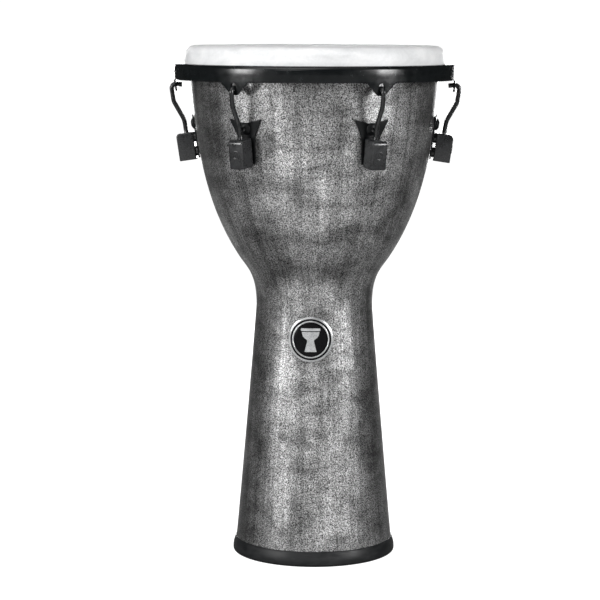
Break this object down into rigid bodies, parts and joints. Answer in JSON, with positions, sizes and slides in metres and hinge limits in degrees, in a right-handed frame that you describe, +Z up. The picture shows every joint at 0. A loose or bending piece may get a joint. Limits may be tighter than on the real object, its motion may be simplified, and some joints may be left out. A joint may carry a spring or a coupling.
{
  "type": "djembe",
  "caption": "Goblet-shaped hand drum with a synthetic head, a steel counterhoop pulled down by hook rods in boxed lugs, and a rubber foot ring.",
  "frame": {"origin": "centre of the footprint, on the floor", "axes": "+Z up along the drum's axis, -Y towards the badge, +X through a lug"},
  "size_m": [0.3546, 0.3428, 0.622],
  "materials": {
    "shell": "satin lacquer over a fine woven silver and black fibre skin",
    "foot_rubber": "smooth moulded black rubber, faint sheen",
    "head_film": "white matt synthetic film, softly mottled",
    "hoop_metal": "dark anodised",
    "black_metal": "black powder coat, satin",
    "lug_box_metal": "black powder coat on a cast box, satin",
    "hook_metal": "black coated round bar, semi-gloss",
    "plated_steel": "zinc plated",
    "badge_metal": "satin polished",
    "badge_enamel": "gloss black enamel"
  },
  "bodies": {
    "drum": {"shell": "shell", "foot_ring": "foot_rubber", "head_film": "head_film", "lug_bolts": "black_metal", "bolt_washers": "plated_steel", "bolt_nuts": "plated_steel", "lug_screws": "plated_steel", "tuning_washers": "plated_steel", "badge_ring": "badge_metal", "badge_field": "badge_enamel", "badge_emblem": "badge_metal", "lug_box_1": "lug_box_metal", "lug_box_2": "lug_box_metal", "lug_box_3": "lug_box_metal", "lug_box_4": "lug_box_metal", "lug_box_5": "lug_box_metal", "lug_box_6": "lug_box_metal", "lug_plate_1": "black_metal", "lug_plate_2": "black_metal", "lug_plate_3": "black_metal", "lug_plate_4": "black_metal", "lug_plate_5": "black_metal", "lug_plate_6": "black_metal", "backing_plate_1": "plated_steel", "backing_plate_2": "plated_steel", "backing_plate_3": "plated_steel", "backing_plate_4": "plated_steel", "backing_plate_5": "plated_steel", "backing_plate_6": "plated_steel"},
    "rim": {"rim": "black_metal", "flesh_hoop": "hoop_metal"},
    "hook_1": {"tuning_hook_1": "hook_metal"},
    "nut_1": {"tuning_nut_1": "plated_steel"},
    "hook_2": {"tuning_hook_2": "hook_metal"},
    "nut_2": {"tuning_nut_2": "plated_steel"},
    "hook_3": {"tuning_hook_3": "hook_metal"},
    "nut_3": {"tuning_nut_3": "plated_steel"},
    "hook_4": {"tuning_hook_4": "hook_metal"},
    "nut_4": {"tuning_nut_4": "plated_steel"},
    "hook_5": {"tuning_hook_5": "hook_metal"},
    "nut_5": {"tuning_nut_5": "plated_steel"},
    "hook_6": {"tuning_hook_6": "hook_metal"},
    "nut_6": {"tuning_nut_6": "plated_steel"}
  },
  "joints": [
    {"name": "rim_travel", "type": "slide", "parent": "drum", "child": "rim", "axis": [0, 0, -1], "range_m": [-0.003, 0.004]},
    {"name": "hook_1_pull", "type": "slide", "parent": "drum", "child": "hook_1", "axis": [-0.1478, 0, -0.989], "range_m": [-0.0031, 0.0041]},
    {"name": "nut_1_turn", "type": "hinge", "parent": "drum", "child": "nut_1", "pos_m": [0.15519, 0, 0.50389], "axis": [0.1478, 0, 0.989], "range_deg": [-1100, 1470]},
    {"name": "hook_2_pull", "type": "slide", "parent": "drum", "child": "hook_2", "axis": [-0.0739, -0.128, -0.989], "range_m": [-0.0031, 0.0041]},
    {"name": "nut_2_turn", "type": "hinge", "parent": "drum", "child": "nut_2", "pos_m": [0.07759, 0.1344, 0.50389], "axis": [0.0739, 0.128, 0.989], "range_deg": [-1100, 1470]},
    {"name": "hook_3_pull", "type": "slide", "parent": "drum", "child": "hook_3", "axis": [0.0739, -0.128, -0.989], "range_m": [-0.0031, 0.0041]},
    {"name": "nut_3_turn", "type": "hinge", "parent": "drum", "child": "nut_3", "pos_m": [-0.07759, 0.1344, 0.50389], "axis": [-0.0739, 0.128, 0.989], "range_deg": [-1100, 1470]},
    {"name": "hook_4_pull", "type": "slide", "parent": "drum", "child": "hook_4", "axis": [0.1478, 0, -0.989], "range_m": [-0.0031, 0.0041]},
    {"name": "nut_4_turn", "type": "hinge", "parent": "drum", "child": "nut_4", "pos_m": [-0.15519, 0, 0.50389], "axis": [-0.1478, 0, 0.989], "range_deg": [-1100, 1470]},
    {"name": "hook_5_pull", "type": "slide", "parent": "drum", "child": "hook_5", "axis": [0.0739, 0.128, -0.989], "range_m": [-0.0031, 0.0041]},
    {"name": "nut_5_turn", "type": "hinge", "parent": "drum", "child": "nut_5", "pos_m": [-0.07759, -0.1344, 0.50389], "axis": [-0.0739, -0.128, 0.989], "range_deg": [-1100, 1470]},
    {"name": "hook_6_pull", "type": "slide", "parent": "drum", "child": "hook_6", "axis": [-0.0739, 0.128, -0.989], "range_m": [-0.0031, 0.0041]},
    {"name": "nut_6_turn", "type": "hinge", "parent": "drum", "child": "nut_6", "pos_m": [0.07759, -0.1344, 0.50389], "axis": [0.0739, -0.128, 0.989], "range_deg": [-1100, 1470]}
  ],
  "couplings": [
    {"joint": "hook_1_pull", "follows": "rim_travel", "ratio": 1.0111},
    {"joint": "nut_1_turn", "follows": "rim_travel", "rad_per_m": 6353},
    {"joint": "hook_2_pull", "follows": "rim_travel", "ratio": 1.0111},
    {"joint": "nut_2_turn", "follows": "rim_travel", "rad_per_m": 6353},
    {"joint": "hook_3_pull", "follows": "rim_travel", "ratio": 1.0111},
    {"joint": "nut_3_turn", "follows": "rim_travel", "rad_per_m": 6353},
    {"joint": "hook_4_pull", "follows": "rim_travel", "ratio": 1.0111},
    {"joint": "nut_4_turn", "follows": "rim_travel", "rad_per_m": 6353},
    {"joint": "hook_5_pull", "follows": "rim_travel", "ratio": 1.0111},
    {"joint": "nut_5_turn", "follows": "rim_travel", "rad_per_m": 6353},
    {"joint": "hook_6_pull", "follows": "rim_travel", "ratio": 1.0111},
    {"joint": "nut_6_turn", "follows": "rim_travel", "rad_per_m": 6353}
  ]
}
